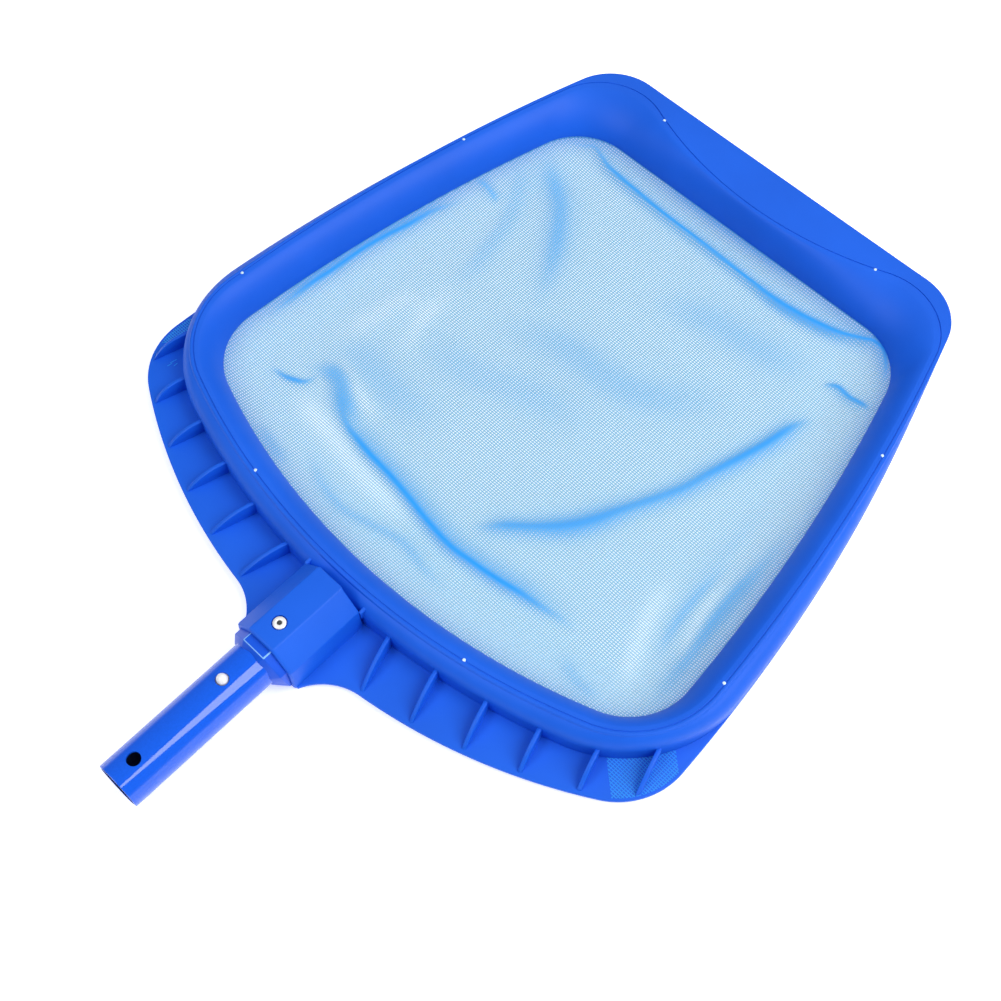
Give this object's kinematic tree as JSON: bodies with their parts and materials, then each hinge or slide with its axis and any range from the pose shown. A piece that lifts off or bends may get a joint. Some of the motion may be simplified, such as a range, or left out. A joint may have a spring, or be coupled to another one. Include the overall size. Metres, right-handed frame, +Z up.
{
  "type": "leaf skimmer net",
  "caption": "Flat leaf skimmer net for a swimming pool: a moulded ring with a wide front lip clamps a sheet of mesh, on a short tube with snap buttons that fits a telescopic pole.",
  "frame": {"origin": "centre of the lock hole, on the axis of the handle tube", "axes": "+Y along the tube towards the net's front lip, +Z up out of the net's mouth, +X to the right"},
  "size_m": [0.4076, 0.541, 0.0393],
  "materials": {
    "frame_plastic": "satin moulded blue polypropylene",
    "collar_plastic": "satin moulded blue plastic",
    "net_mesh": "fine pale blue woven mesh",
    "tube_paint": "glossy blue coat",
    "rivet_metal": "bright",
    "steel": "zinc plated",
    "button_plastic": "white"
  },
  "bodies": {
    "skimmer": {"base_frame": "frame_plastic", "top_frame": "frame_plastic", "inner_ring": "frame_plastic", "net_bag": "net_mesh", "frame_screws": "steel", "socket_adapter": "collar_plastic", "handle_tube": "tube_paint", "handle_rivet": "rivet_metal", "rivet_mandrel": "steel", "clip_bend": "steel"},
    "upper_clip": {"clip_leg_upper": "steel", "clip_button_upper": "button_plastic"},
    "lower_clip": {"clip_leg_lower": "steel", "clip_button_lower": "button_plastic"}
  },
  "joints": [
    {"name": "upper_button_press", "type": "hinge", "parent": "skimmer", "child": "upper_clip", "pos_m": [0, 0.014, 0.0025], "axis": [-1, 0, 0], "range_deg": [0, 4.4], "stiffness_Nm_per_rad": 0.5},
    {"name": "lower_button_press", "type": "hinge", "parent": "skimmer", "child": "lower_clip", "pos_m": [0, 0.014, -0.0025], "axis": [1, 0, 0], "range_deg": [0, 4.4], "stiffness_Nm_per_rad": 0.5}
  ]
}
